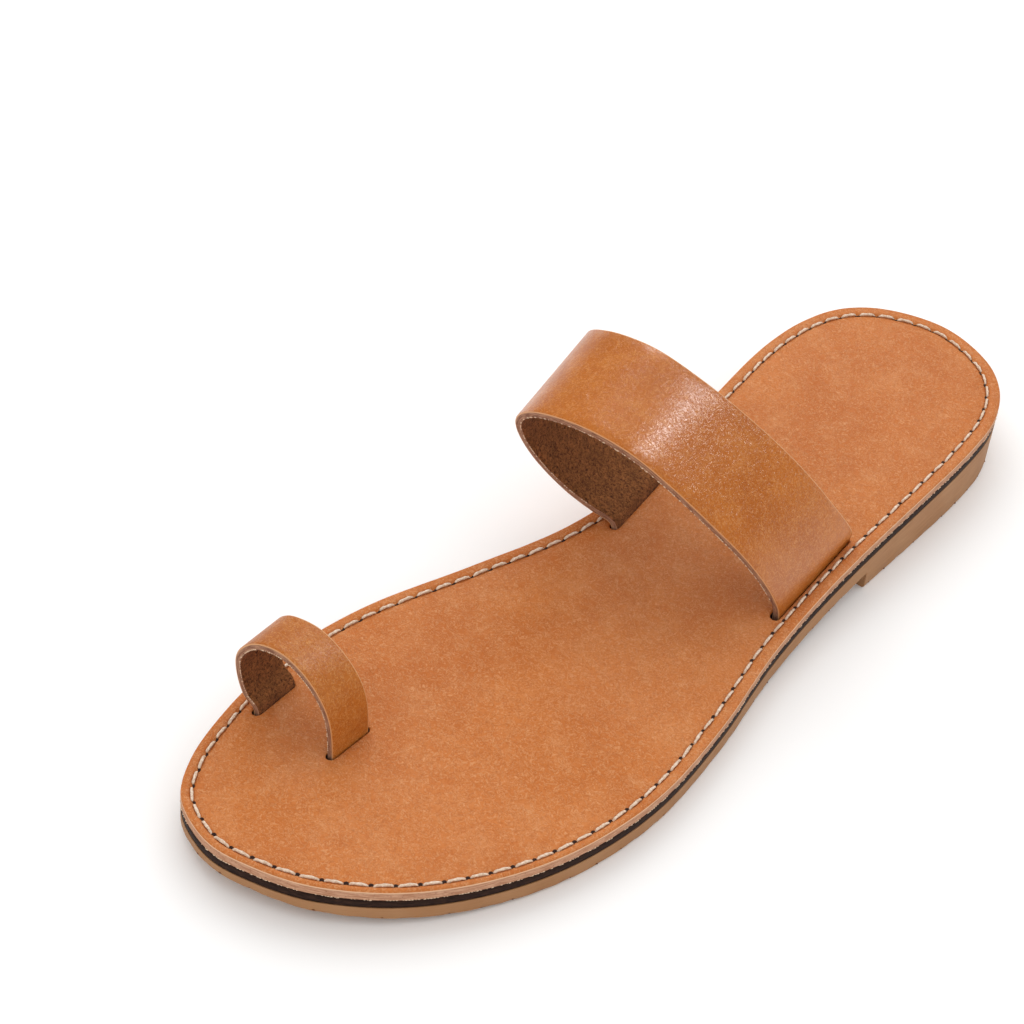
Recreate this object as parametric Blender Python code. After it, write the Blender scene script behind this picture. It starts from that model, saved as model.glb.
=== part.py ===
"""Toe loop sandal for the left foot, EU size 40, built as five closed solids.

Metres, Z up. The toe points along -Y, the heel along +Y, and the big toe side is -X.
The heel and the ball of the sole stand on z = 0, and the origin is the middle of the sole.
Sizes below are in mm: "along" runs from toe (minus) to heel (plus), "across" from the big toe
side (minus) to the little toe side (plus), and "up" is height.
"""
import math

import bmesh
import bpy
import numpy as np
from mathutils import Vector

MM = 0.001

# Sole, seen from above: along, big toe side, little toe side
OUTLINE = (
    (-131.0, -23.6, -2.0),
    (-127.0, -30.0, 7.6),
    (-117.0, -36.5, 20.2),
    (-104.0, -41.0, 30.3),
    (-88.0, -44.2, 38.3),
    (-72.0, -45.0, 43.0),
    (-52.0, -42.3, 45.1),
    (-24.0, -33.6, 42.3),
    (0.0, -25.9, 37.9),
    (22.0, -22.9, 35.8),
    (46.0, -24.8, 35.1),
    (70.0, -28.0, 34.9),
    (92.0, -29.9, 34.3),
    (108.0, -28.7, 32.2),
    (120.0, -24.4, 26.8),
    (128.5, -15.6, 17.6),
)
TOE_TIP_ACROSS = -14.0
HEEL_BACK_ACROSS = 1.0
LENGTH = 266.7

# Upper face of the footbed, seen from the side: along, up
TOP_LINE = (
    (-133.4, 12.4),
    (-105.0, 10.3),
    (-80.0, 9.6),
    (-35.0, 9.6),
    (-8.0, 10.6),
    (20.0, 12.8),
    (47.0, 15.2),
    (90.0, 17.3),
    (133.4, 18.4),
)

# Layers, from the top down; the outsole by rows of along, thickness
FOOTBED = 3.0
MIDSOLE = 1.9
OUTSOLE_LINE = (
    (-133.4, 2.4),
    (-126.0, 3.2),
    (-115.0, 3.7),
    (-80.0, 4.1),
    (-35.0, 4.1),
    (0.0, 4.8),
    (47.0, 5.0),
)
LAYER_GAP = 0.3
FOOTBED_RIM = ((0.0, -1.0), (0.3, -0.35), (1.0, 0.0))
HEEL_BREAST_ALONG = 47.0
BOTTOM_CHAMFER = 0.5

# Instep strap, its outer face from the big toe side over the foot: across, along, up
STRAP_FRONT = (
    (-17.6, 8.8, 12.0),
    (-22.5, 7.2, 14.2),
    (-29.0, 4.3, 18.5),
    (-35.5, -0.8, 27.5),
    (-38.2, -5.5, 37.0),
    (-36.6, -9.6, 45.3),
    (-30.5, -12.8, 52.6),
    (-20.5, -14.4, 57.3),
    (-9.5, -14.7, 59.2),
    (0.0, -13.3, 57.6),
    (8.5, -9.5, 51.5),
    (17.2, -4.6, 43.0),
    (25.8, 1.4, 32.6),
    (30.7, 6.9, 22.0),
    (31.9, 11.4, 12.3),
)
STRAP_REAR = (
    (-21.0, 39.3, 14.6),
    (-25.5, 38.0, 16.3),
    (-32.0, 35.0, 21.0),
    (-38.3, 30.5, 31.0),
    (-41.2, 25.5, 43.0),
    (-39.8, 21.2, 53.2),
    (-32.0, 18.0, 59.4),
    (-23.5, 16.8, 62.3),
    (-15.0, 16.3, 63.3),
    (-3.0, 18.6, 59.5),
    (8.0, 24.2, 51.2),
    (18.6, 30.7, 40.6),
    (26.3, 37.5, 28.6),
    (29.6, 42.0, 18.0),
    (29.9, 44.2, 15.0),
)
STRAP_THICK = 2.0

# Toe loop, in the same way
LOOP_FRONT = (
    (-37.2, -97.2, 10.3),
    (-40.0, -97.5, 13.0),
    (-42.0, -98.0, 20.0),
    (-41.4, -98.4, 26.0),
    (-37.0, -98.5, 31.8),
    (-32.0, -98.2, 34.1),
    (-27.0, -97.8, 34.1),
    (-21.5, -97.2, 31.1),
    (-17.2, -96.6, 26.0),
    (-15.0, -96.0, 20.0),
    (-14.2, -95.5, 10.2),
)
LOOP_REAR = (
    (-38.0, -84.4, 10.0),
    (-40.9, -84.9, 13.5),
    (-42.6, -85.4, 21.0),
    (-41.2, -85.7, 27.5),
    (-38.0, -85.7, 31.3),
    (-33.0, -85.6, 33.1),
    (-27.5, -85.3, 33.1),
    (-21.8, -84.9, 30.3),
    (-17.0, -84.5, 25.5),
    (-14.9, -84.0, 19.5),
    (-14.5, -83.4, 10.0),
)
LOOP_THICK = 1.8

# Room round a strap in its slot
SLOT_ROOM = 0.35
SLOT_END_ROOM = 0.9

STATIONS = 84
PATH_STEPS = 52
EDGE_STEPS = 4

COLOURS = {
    "footbed_leather": (0.60, 0.23, 0.07),
    "strap_leather": (0.55, 0.19, 0.05),
    "midsole_board": (0.04, 0.017, 0.01),
    "sole_rubber": (0.40, 0.22, 0.11),
}


def clear_scene():
    for thing in list(bpy.data.objects):
        bpy.data.objects.remove(thing)


def material(name):
    mat = bpy.data.materials.new(name)
    mat.use_nodes = True
    shader = mat.node_tree.nodes["Principled BSDF"]
    shader.inputs["Base Color"].default_value = (*COLOURS[name], 1.0)
    shader.inputs["Roughness"].default_value = 0.5
    return mat


def smooth_value(rows, place):
    """Value at a place on a smooth line through rows of (place, value) that never overshoots a row."""
    places = np.array([row[0] for row in rows])
    values = np.array([row[1] for row in rows])
    gaps = np.diff(places)
    slopes = np.diff(values) / gaps
    turns = np.zeros(len(rows))
    turns[0] = slopes[0]
    turns[-1] = slopes[-1]
    for k in range(1, len(rows) - 1):
        if slopes[k - 1] * slopes[k] > 0.0:
            turns[k] = 2.0 / (1.0 / slopes[k - 1] + 1.0 / slopes[k])
    place = min(max(place, places[0]), places[-1])
    k = min(int(np.searchsorted(places, place, side="right")) - 1, len(gaps) - 1)
    t = (place - places[k]) / gaps[k]
    start = values[k] * (1 + 2 * t) * (1 - t) ** 2 + turns[k] * gaps[k] * t * (1 - t) ** 2
    end = values[k + 1] * t * t * (3 - 2 * t) + turns[k + 1] * gaps[k] * t * t * (t - 1)
    return start + end


def smooth_path(points, per_span, closed=False):
    """Points of a centripetal curve that passes through every given point."""
    points = [np.array(p, dtype=float) for p in points]
    if closed:
        points = [points[-1]] + points + points[:2]
    else:
        points = [2 * points[0] - points[1]] + points + [2 * points[-1] - points[-2]]
    path = []
    for a, b, c, d in zip(points, points[1:], points[2:], points[3:]):
        ta = 0.0
        tb = ta + np.linalg.norm(b - a) ** 0.5
        tc = tb + np.linalg.norm(c - b) ** 0.5
        td = tc + np.linalg.norm(d - c) ** 0.5
        for t in np.linspace(tb, tc, per_span, endpoint=False):
            ab = ((tb - t) * a + (t - ta) * b) / (tb - ta)
            bc = ((tc - t) * b + (t - tb) * c) / (tc - tb)
            cd = ((td - t) * c + (t - tc) * d) / (td - tc)
            abc = ((tc - t) * ab + (t - ta) * bc) / (tc - ta)
            bcd = ((td - t) * bc + (t - tb) * cd) / (td - tb)
            path.append(((tc - t) * abc + (t - tb) * bcd) / (tc - tb))
    if not closed:
        path.append(points[-2])
    return np.array(path)


def even_steps(path, steps):
    """The same path with points spaced evenly along it."""
    lengths = np.r_[0.0, np.cumsum(np.linalg.norm(np.diff(path, axis=0), axis=1))]
    places = np.linspace(0.0, lengths[-1], steps + 1)
    return np.stack([np.interp(places, lengths, path[:, k]) for k in range(path.shape[1])], axis=1)


def sole_curve():
    """Plan of the sole as one closed smooth curve, as long as LENGTH and centred on the origin."""
    little = [(row[2], row[0]) for row in OUTLINE]
    big = [(row[1], row[0]) for row in reversed(OUTLINE)]
    toe = (TOE_TIP_ACROSS, -LENGTH / 2)
    heel = (HEEL_BACK_ACROSS, LENGTH / 2)
    curve = smooth_path([toe] + little + [heel] + big, 24, closed=True)
    low = curve.min(axis=0)
    high = curve.max(axis=0)
    curve = curve - (low + high) / 2
    curve[:, 1] *= LENGTH / (high[1] - low[1])
    return curve


def side_across(curve, along, side):
    """How far across the curve lies at a place along the sole: side is -1 big toe, +1 little toe."""
    ends = np.roll(curve, -1, axis=0)
    crosses = (curve[:, 1] - along) * (ends[:, 1] - along) <= 0.0
    starts = curve[crosses]
    ends = ends[crosses]
    drop = ends[:, 1] - starts[:, 1]
    share = np.where(np.abs(drop) > 1e-9, (along - starts[:, 1]) / np.where(drop == 0, 1, drop), 0.5)
    across = starts[:, 0] + share * (ends[:, 0] - starts[:, 0])
    return across.max() if side > 0 else across.min()


def station_places():
    """Places along the sole, close together at its round ends, with one at the heel breast."""
    turn = np.linspace(0.0, math.pi, STATIONS + 1)
    places = -LENGTH / 2 * np.cos(turn)
    nearest = int(np.abs(places - HEEL_BREAST_ALONG).argmin())
    places[nearest] = HEEL_BREAST_ALONG
    return places, nearest


def sole_ring():
    """Points round the sole: toe tip, little toe side to the heel, heel back, big toe side to the toe."""
    curve = sole_curve()
    places, breast = station_places()
    inner = places[1:-1]
    tip = curve[curve[:, 1].argmin()]
    back = curve[curve[:, 1].argmax()]
    little = [(side_across(curve, y, 1), y) for y in inner]
    big = [(side_across(curve, y, -1), y) for y in inner[::-1]]
    ring = np.array([tuple(tip)] + little + [tuple(back)] + big)
    return ring, breast


def inset(ring, amount):
    """The ring moved inwards by an amount, square to itself."""
    run = np.roll(ring, -1, axis=0) - np.roll(ring, 1, axis=0)
    run /= np.linalg.norm(run, axis=1)[:, None]
    inwards = np.stack([-run[:, 1], run[:, 0]], axis=1)
    return ring + inwards * amount


def top_height(along):
    return smooth_value(TOP_LINE, along)


def rubber(along):
    return smooth_value(OUTSOLE_LINE, along)


def ring_points(mesh, ring, drop, extra=None):
    """Vertices of a ring at a drop below the footbed's upper face, plus an extra drop by place."""
    drops = [drop + (extra(y) if extra else 0.0) for x, y in ring]
    return [mesh.verts.new((x * MM, y * MM, (top_height(y) - d) * MM)) for (x, y), d in zip(ring, drops)]


def wall(mesh, lower, upper):
    count = len(lower)
    for k in range(count):
        n = (k + 1) % count
        mesh.faces.new((lower[k], lower[n], upper[n], upper[k]))


def cap(mesh, points, upwards):
    """Strips across a ring, from the toe to the heel."""
    count = len(points)
    half = count // 2
    rows = [(points[k], points[-k]) for k in range(1, half)]
    faces = [(points[0], rows[0][0], rows[0][1])]
    faces += [(a[0], b[0], b[1], a[1]) for a, b in zip(rows, rows[1:])]
    faces += [(rows[-1][0], points[half], rows[-1][1])]
    for face in faces:
        mesh.faces.new(face if upwards else face[::-1])


def finish(mesh, name, mat):
    data = bpy.data.meshes.new(name)
    mesh.normal_update()
    bmesh.ops.triangulate(mesh, faces=[f for f in mesh.faces if len(f.verts) > 4])
    mesh.to_mesh(data)
    mesh.free()
    data.shade_smooth()
    data.set_sharp_from_angle(angle=math.radians(32.0))
    data.materials.append(mat)
    thing = bpy.data.objects.new(name, data)
    bpy.context.scene.collection.objects.link(thing)
    return thing


def slab(name, ring, top_drop, thickness, mat, rim=()):
    """A layer that follows the footbed, with an optional rounded upper rim."""
    mesh = bmesh.new()
    levels = [(0.0, -thickness)] + (list(rim) or [(0.0, 0.0)])
    rings = [ring_points(mesh, inset(ring, inwards), top_drop - up) for inwards, up in levels]
    for lower, upper in zip(rings, rings[1:]):
        wall(mesh, lower, upper)
    cap(mesh, rings[-1], True)
    cap(mesh, rings[0], False)
    return finish(mesh, name, mat)


def outsole(name, ring, breast, top_drop, mat):
    """Forepart that follows the footbed, and behind the heel breast a block that stands on the floor."""
    mesh = bmesh.new()
    count = len(ring)
    half = count // 2
    upper = ring_points(mesh, ring, top_drop)
    side = ring_points(mesh, ring, top_drop - BOTTOM_CHAMFER, rubber)
    small = inset(ring, BOTTOM_CHAMFER)
    lower = ring_points(mesh, small, top_drop, rubber)
    in_heel = [breast <= k <= count - breast for k in range(count)]
    little = breast
    big = count - breast
    breast_top = {little: lower[little], big: lower[big]}
    breast_side = {little: side[little], big: side[big]}
    for k in range(count):
        if in_heel[k]:
            x, y = ring[k]
            side[k] = mesh.verts.new((x * MM, y * MM, BOTTOM_CHAMFER * MM))
            x, y = small[k]
            if k in breast_top:
                y = HEEL_BREAST_ALONG
            lower[k] = mesh.verts.new((x * MM, y * MM, 0.0))
    for k in breast_top:
        breast_top[k].co.y = HEEL_BREAST_ALONG * MM
    for k in range(count):
        n = (k + 1) % count
        if in_heel[k] == in_heel[n] or k == big:
            first_side = breast_side[k] if k == big else side[k]
            first_lower = breast_top[k] if k == big else lower[k]
            second_side, second_lower = side[n], lower[n]
            above = (upper[n], upper[k])
        else:
            first_side, first_lower = side[k], lower[k]
            second_side, second_lower = breast_side[n], breast_top[n]
            above = (upper[n], upper[k])
        mesh.faces.new((first_lower, second_lower, second_side, first_side))
        outer = [first_side, second_side]
        if k == little:
            outer = [side[k], second_side, *above, breast_side[k]]
        elif n == big and in_heel[k]:
            outer = [first_side, second_side, breast_side[n], *above]
        else:
            outer += list(above)
        mesh.faces.new(outer)
    mesh.faces.new((
        breast_top[big], breast_side[big], side[big], lower[big],
        lower[little], side[little], breast_side[little], breast_top[little],
    ))
    cap(mesh, upper, True)
    rows = [(lower[k], lower[-k]) for k in range(1, half)]
    rows[little - 1] = (breast_top[little], breast_top[big])
    mesh.faces.new((rows[0][1], rows[0][0], lower[0]))
    for a, b in zip(rows[:little], rows[1:little]):
        mesh.faces.new((a[1], b[1], b[0], a[0]))
    rows[little - 1] = (lower[little], lower[big])
    for a, b in zip(rows[little - 1:], rows[little:]):
        mesh.faces.new((a[1], b[1], b[0], a[0]))
    mesh.faces.new((rows[-1][1], lower[half], rows[-1][0]))
    return finish(mesh, name, mat)


def edge_path(rows):
    """One edge of a strap: out of one slot, over the foot, and into the other slot."""
    tuck = FOOTBED - LAYER_GAP
    ends = [(across, along, top_height(along) - tuck) for across, along, up in (rows[0], rows[-1])]
    return even_steps(smooth_path([ends[0], *rows, ends[1]], 12), PATH_STEPS)


def strap(name, front_rows, rear_rows, thick, mat):
    """A strip of leather of even thickness between its front and rear edges."""
    front = edge_path(front_rows)
    rear = edge_path(rear_rows)
    shares = np.linspace(0.0, 1.0, EDGE_STEPS + 1)
    outer = np.array([[f + (r - f) * s for s in shares] for f, r in zip(front, rear)])
    run = np.gradient(outer, axis=0)
    out = np.cross(run, (rear - front)[:, None, :])
    out[:2, :, 2] = 0.0
    out[-2:, :, 2] = 0.0
    out /= np.linalg.norm(out, axis=2)[..., None]
    if out[0, 0, 0] > 0.0:
        out = -out
    inner = outer - out * thick
    mesh = bmesh.new()
    sheets = [[[mesh.verts.new(Vector(p) * MM) for p in row] for row in sheet] for sheet in (outer, inner)]
    top, under = sheets
    last = EDGE_STEPS
    for i in range(len(front) - 1):
        for k in range(last):
            mesh.faces.new((top[i][k], top[i][k + 1], top[i + 1][k + 1], top[i + 1][k]))
            mesh.faces.new((under[i][k], under[i + 1][k], under[i + 1][k + 1], under[i][k + 1]))
        mesh.faces.new((top[i][0], top[i + 1][0], under[i + 1][0], under[i][0]))
        mesh.faces.new((top[i + 1][last], top[i][last], under[i][last], under[i + 1][last]))
    for k in range(last):
        mesh.faces.new((top[0][k + 1], top[0][k], under[0][k], under[0][k + 1]))
        mesh.faces.new((top[-1][k], top[-1][k + 1], under[-1][k + 1], under[-1][k]))
    bmesh.ops.recalc_face_normals(mesh, faces=mesh.faces)
    return finish(mesh, name, mat)


def slot_cutter(name, front, rear, inwards, thick):
    """A block through the footbed round one end of a strap: inwards is +1 or -1 across."""
    x0, y0 = front[:2]
    x1, y1 = rear[:2]
    run = np.array([x1 - x0, y1 - y0])
    run /= np.linalg.norm(run)
    square = np.array([run[1], -run[0]]) * inwards
    front_corner = np.array([x0, y0]) - run * SLOT_END_ROOM - square * SLOT_ROOM
    rear_corner = np.array([x1, y1]) + run * SLOT_END_ROOM - square * SLOT_ROOM
    across = square * (thick + 2 * SLOT_ROOM)
    corners = [front_corner, rear_corner, rear_corner + across, front_corner + across]
    low = top_height(y0) - 3 * FOOTBED
    high = top_height(y1) + 3 * FOOTBED
    mesh = bmesh.new()
    bottom = [mesh.verts.new((x * MM, y * MM, low * MM)) for x, y in corners]
    top = [mesh.verts.new((x * MM, y * MM, high * MM)) for x, y in corners]
    wall(mesh, bottom, top)
    mesh.faces.new(top)
    mesh.faces.new(bottom[::-1])
    bmesh.ops.recalc_face_normals(mesh, faces=mesh.faces)
    data = bpy.data.meshes.new(name)
    mesh.to_mesh(data)
    mesh.free()
    cutter = bpy.data.objects.new(name, data)
    cutter.hide_render = True
    cutter.display_type = "WIRE"
    bpy.context.scene.collection.objects.link(cutter)
    return cutter


def cut_slots(footbed):
    jobs = (
        ("strap_slot_big_toe_side", STRAP_FRONT[0], STRAP_REAR[0], 1, STRAP_THICK),
        ("strap_slot_little_toe_side", STRAP_FRONT[-1], STRAP_REAR[-1], -1, STRAP_THICK),
        ("loop_slot_big_toe_side", LOOP_FRONT[0], LOOP_REAR[0], 1, LOOP_THICK),
        ("loop_slot_little_toe_side", LOOP_FRONT[-1], LOOP_REAR[-1], -1, LOOP_THICK),
    )
    for name, front, rear, inwards, thick in jobs:
        cut = footbed.modifiers.new(name, "BOOLEAN")
        cut.operation = "DIFFERENCE"
        cut.solver = "EXACT"
        cut.object = slot_cutter(name, front, rear, inwards, thick)


def main():
    clear_scene()
    footbed_leather = material("footbed_leather")
    strap_leather = material("strap_leather")
    midsole_board = material("midsole_board")
    sole_rubber = material("sole_rubber")
    ring, breast = sole_ring()
    under_footbed = FOOTBED + LAYER_GAP
    under_midsole = under_footbed + MIDSOLE + LAYER_GAP
    footbed = slab("insole", ring, 0.0, FOOTBED, footbed_leather, FOOTBED_RIM)
    cut_slots(footbed)
    slab("midsole", ring, under_footbed, MIDSOLE, midsole_board)
    outsole("outsole", ring, breast, under_midsole, sole_rubber)
    strap("instep_strap", STRAP_FRONT, STRAP_REAR, STRAP_THICK, strap_leather)
    strap("toe_loop", LOOP_FRONT, LOOP_REAR, LOOP_THICK, strap_leather)


main()
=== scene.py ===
# %% [markdown]
# # Dressing a toe loop sandal
# The solids of this left sandal are already built: a leather footbed, a dark midsole, a
# tan rubber outsole with its heel, a broad strap over the instep and a loop for the big toe.
# This file puts the finish on them: the sewn seam, the raw leather edges, the suede inside of the
# straps, the brushed rubber, and the light of a studio. Sizes are in millimetres until a mesh is
# made. The toe points along -Y, the heel along +Y and the big toe side is -X.

# %% The imported solids
import math

import bmesh
import bpy
import numpy as np
from mathutils import Matrix, Vector
from mathutils.geometry import delaunay_2d_cdt


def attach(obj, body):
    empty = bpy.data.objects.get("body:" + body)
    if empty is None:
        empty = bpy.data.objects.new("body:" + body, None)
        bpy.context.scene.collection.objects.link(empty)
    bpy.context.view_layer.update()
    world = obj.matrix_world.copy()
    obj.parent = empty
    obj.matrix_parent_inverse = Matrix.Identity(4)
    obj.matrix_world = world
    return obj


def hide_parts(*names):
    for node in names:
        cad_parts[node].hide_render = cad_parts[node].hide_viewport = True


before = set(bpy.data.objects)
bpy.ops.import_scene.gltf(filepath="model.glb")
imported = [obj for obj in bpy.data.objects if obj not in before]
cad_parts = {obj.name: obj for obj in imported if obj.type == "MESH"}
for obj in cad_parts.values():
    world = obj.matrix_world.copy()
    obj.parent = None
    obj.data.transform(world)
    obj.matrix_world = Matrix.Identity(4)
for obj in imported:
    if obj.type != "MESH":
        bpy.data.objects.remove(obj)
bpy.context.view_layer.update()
MM = 0.001
print("solids:", sorted(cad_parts))

# %% [markdown]
# ## The camera
# The picture is taken from in front of the toe, from the little toe side and from above, with the
# camera rolled a little. A long lens keeps the sole's shape true. The camera's own axes go straight
# into its matrix, because a roll is easier to state that way than as Euler angles.

# %% The camera
CAMERA_PLACE = (235.0, -387.2, 414.1)
CAMERA_AZIMUTH = 35.52
CAMERA_ELEVATION = 40.56
CAMERA_ROLL = 6.3
CAMERA_LENS = 87.9
SENSOR_WIDTH = 36.0


def camera_matrix():
    azimuth = math.radians(CAMERA_AZIMUTH)
    elevation = math.radians(CAMERA_ELEVATION)
    roll = math.radians(CAMERA_ROLL)
    reach = math.cos(elevation)
    back = Vector((math.sin(azimuth) * reach, -math.cos(azimuth) * reach, math.sin(elevation)))
    right = Vector((math.cos(azimuth), math.sin(azimuth), 0.0))
    up = back.cross(right)
    rolled_right = math.cos(roll) * right + math.sin(roll) * up
    rolled_up = -math.sin(roll) * right + math.cos(roll) * up
    turn = Matrix((rolled_right, rolled_up, back)).transposed().to_4x4()
    return Matrix.Translation(Vector(CAMERA_PLACE) * MM) @ turn


camera_data = bpy.data.cameras.new("camera")
camera_data.lens = CAMERA_LENS
camera_data.sensor_width = SENSOR_WIDTH
camera_data.clip_start = 0.01
camera = bpy.data.objects.new("camera", camera_data)
camera.matrix_world = camera_matrix()
bpy.context.scene.collection.objects.link(camera)
bpy.context.scene.camera = camera
print("camera at", [round(c, 3) for c in camera.location])

# %% [markdown]
# ## Colours and nodes
# Colours are given as sRGB hex values and turned to linear light once, by one
# function. Two more functions add a shader or geometry node, set it and link it, so that a material
# reads as a short list of steps.

# %% Colour and node helpers
IOR = 1.5


def colour(hex_value):
    """Linear RGBA of an sRGB hex value."""
    parts = [int(hex_value[k:k + 2], 16) / 255 for k in (1, 3, 5)]
    return tuple(p / 12.92 if p <= 0.04045 else ((p + 0.055) / 1.055) ** 2.4 for p in parts) + (1.0,)


def set_inputs(tree, node, inputs):
    """Fill a node's inputs with values or links."""
    for key, value in inputs.items():
        if isinstance(value, bpy.types.NodeSocket):
            tree.links.new(value, node.inputs[key])
        else:
            node.inputs[key].default_value = value


def add(tree, kind, inputs=None, **settings):
    """Add one node with its properties and inputs."""
    node = tree.nodes.new(kind)
    for key, value in settings.items():
        setattr(node, key, value)
    set_inputs(tree, node, inputs or {})
    return node


def per(size):
    """Texture scale that gives features of a real size in mm."""
    return 1000.0 / size


def new_material(name, roughness):
    mat = bpy.data.materials.new(name)
    mat.use_nodes = True
    shader = mat.node_tree.nodes["Principled BSDF"]
    set_inputs(mat.node_tree, shader, {"Roughness": roughness, "IOR": IOR})
    return mat, mat.node_tree, shader


def plain(name, hex_value, roughness):
    """A material of one even colour."""
    mat, _, shader = new_material(name, roughness)
    shader.inputs["Base Color"].default_value = colour(hex_value)
    return mat


def noise(tree, size, where, detail=2.0, rough=0.5, distortion=0.0):
    return add(tree, "ShaderNodeTexNoise", {
        "Vector": where, "Scale": per(size), "Detail": detail,
        "Roughness": rough, "Distortion": distortion,
    }).outputs[0]


def blend(tree, share, first, second):
    """Mix two colours, each a hex value or a socket, by a share."""
    first, second = [colour(c) if isinstance(c, str) else c for c in (first, second)]
    return add(tree, "ShaderNodeMix", {0: share, 6: first, 7: second}, data_type="RGBA").outputs[2]


def span(tree, value, low, high, to_low=0.0, to_high=1.0):
    """Stretch a value from low..high to to_low..to_high, clamped."""
    return add(tree, "ShaderNodeMapRange", {0: value, 1: low, 2: high, 3: to_low, 4: to_high}).outputs[0]


def bump(tree, height, depth, strength=1.0, under=None):
    """Bump of a real depth in mm."""
    inputs = {"Height": height, "Distance": depth * MM, "Strength": strength}
    if under is not None:
        inputs["Normal"] = under
    return add(tree, "ShaderNodeBump", inputs).outputs[0]


print("tan leather is", [round(c, 3) for c in colour("#CD8452")])

# %% [markdown]
# ## Leather, grain side
# The footbed is vegetable tanned cowhide, dyed tan and lightly waxed. The eye reads cloudy mottling
# a few centimetres wide, where the dye sank in unevenly; curly hair lines; pores half a millimetre
# wide; and a sheen. Each is noise at its own real size, and the finer ones also raise the surface as
# a bump, so that the sheen breaks up. The wax is the shader's coat: strong on the instep strap, whose
# crown has a bright band, and faint on the loop and the footbed.

# %% Grain leather


def curls(tree, where, size, width):
    """Curly hair lines, drawn where a noise passes through its middle value."""
    field = noise(tree, size, where, 2.0, 0.55, 1.4)
    off = add(tree, "ShaderNodeMath", {0: field, 1: 0.5}, operation="SUBTRACT").outputs[0]
    off = add(tree, "ShaderNodeMath", {0: off}, operation="ABSOLUTE").outputs[0]
    return span(tree, off, 0.0, width, 1.0, 0.0)


def grain_leather(name, tones, roughness, shine, contrast, grain_depth, coat, coat_roughness):
    """Tones are deep, middle, light and hair; contrast is how far the hairs stand out from them."""
    deep, middle, light, hair = tones
    mat, tree, shader = new_material(name, roughness)
    where = add(tree, "ShaderNodeTexCoord").outputs["Object"]
    clouds = noise(tree, 30.0, where, 3.0, 0.55, 0.3)
    patches = noise(tree, 8.0, where, 4.0, 0.6, 0.4)
    pale_hairs = curls(tree, where, 1.5, 0.05)
    dark_hairs = curls(tree, where, 2.2, 0.05)
    ridges = curls(tree, where, 1.0, 0.20)
    pores = noise(tree, 0.5, where, 2.0, 0.6)
    tone = blend(tree, span(tree, clouds, 0.38, 0.62, 0.5, 1.0), deep, middle)
    tone = blend(tree, span(tree, patches, 0.48, 0.75, 0.0, 0.35), tone, light)
    tone = blend(tree, span(tree, pale_hairs, 0.0, 1.0, 0.0, contrast), tone, hair)
    tone = blend(tree, span(tree, dark_hairs, 0.0, 1.0, 0.0, contrast), tone, deep)
    tone = blend(tree, span(tree, pores, 0.30, 0.45, 0.45, 0.0), tone, deep)
    fine = bump(tree, pale_hairs, grain_depth, 0.5)
    fine = bump(tree, ridges, grain_depth, 0.5, fine)
    fine = bump(tree, pores, grain_depth, 0.4, fine)
    set_inputs(tree, shader, {
        "Base Color": tone,
        "Roughness": span(tree, patches, 0.3, 0.7, roughness + 0.05, roughness - 0.05),
        "Normal": fine,
        "Specular IOR Level": shine,
        "Coat Weight": coat,
        "Coat Roughness": coat_roughness,
        "Coat Normal": bump(tree, ridges, 0.045, 0.8),
    })
    return mat


FOOTBED_TONES = ("#AF5D27", "#C6773E", "#D69561", "#E3AA79")
STRAP_TONES = ("#9F5216", "#B76721", "#CC843F", "#DA9A5C")
LOOP_TONES = ("#9E5319", "#B86B26", "#CD8844", "#D99C5D")
footbed_grain = grain_leather("footbed_veg_tanned_grain", FOOTBED_TONES, 0.55, 0.05, 0.50, 0.13, 0.09, 0.26)
strap_grain = grain_leather("strap_veg_tanned_grain", STRAP_TONES, 0.40, 0.10, 0.45, 0.05, 0.65, 0.18)
loop_grain = grain_leather("loop_veg_tanned_grain", LOOP_TONES, 0.45, 0.12, 0.50, 0.08, 0.25, 0.26)
print("made", footbed_grain.name, "and", strap_grain.name)

# %% [markdown]
# ## Leather, cut edges and flesh side
# Where the sheet is cut, the fibres show end on: paler, pinkish, and drawn into fine lines along the
# edge by the knife. The flesh side is suede, darker because it drinks up the dye and throws back no
# shine. The edge's lines need a direction, so that material reads the piece's own UV map, which runs
# along the edge in u and across it in v.
# On the footbed's edge, a pale line along the rounded upper corner is a painted highlight.

# %% Cut edge and suede


def strip_and_lines(tree, squeeze):
    """The strip map, and the same squeezed along u, where noise is drawn out into lines."""
    strip = add(tree, "ShaderNodeUVMap", uv_map="strip").outputs[0]
    return strip, add(tree, "ShaderNodeMapping", {"Vector": strip, "Scale": (squeeze, 1.0, 1.0)}).outputs[0]


def cut_edge(name, pale, deep, crack, highlight_from=None):
    """The last argument is how far up the edge, in mm, a painted highlight starts along the upper corner."""
    mat, tree, shader = new_material(name, 0.85)
    strip, lines = strip_and_lines(tree, 0.10)
    streaks = noise(tree, 0.35, lines, 3.0, 0.6)
    specks = noise(tree, 0.6, strip, 2.0, 0.6)
    tone = blend(tree, span(tree, streaks, 0.38, 0.62), deep, pale)
    tone = blend(tree, span(tree, specks, 0.30, 0.42, 0.6, 0.0), tone, crack)
    # Painted highlight: a pale line along the rounded upper corner of the edge.
    if highlight_from:
        height = add(tree, "ShaderNodeSeparateXYZ", {"Vector": strip}).outputs[1]
        above = span(tree, height, highlight_from * MM, (highlight_from + 0.15) * MM)
        tone = blend(tree, above, tone, "#DDB592")
    ridges = bump(tree, streaks, 0.18, 0.8)
    set_inputs(tree, shader, {"Base Color": tone, "Normal": ridges, "Specular IOR Level": 0.25})
    return mat


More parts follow.
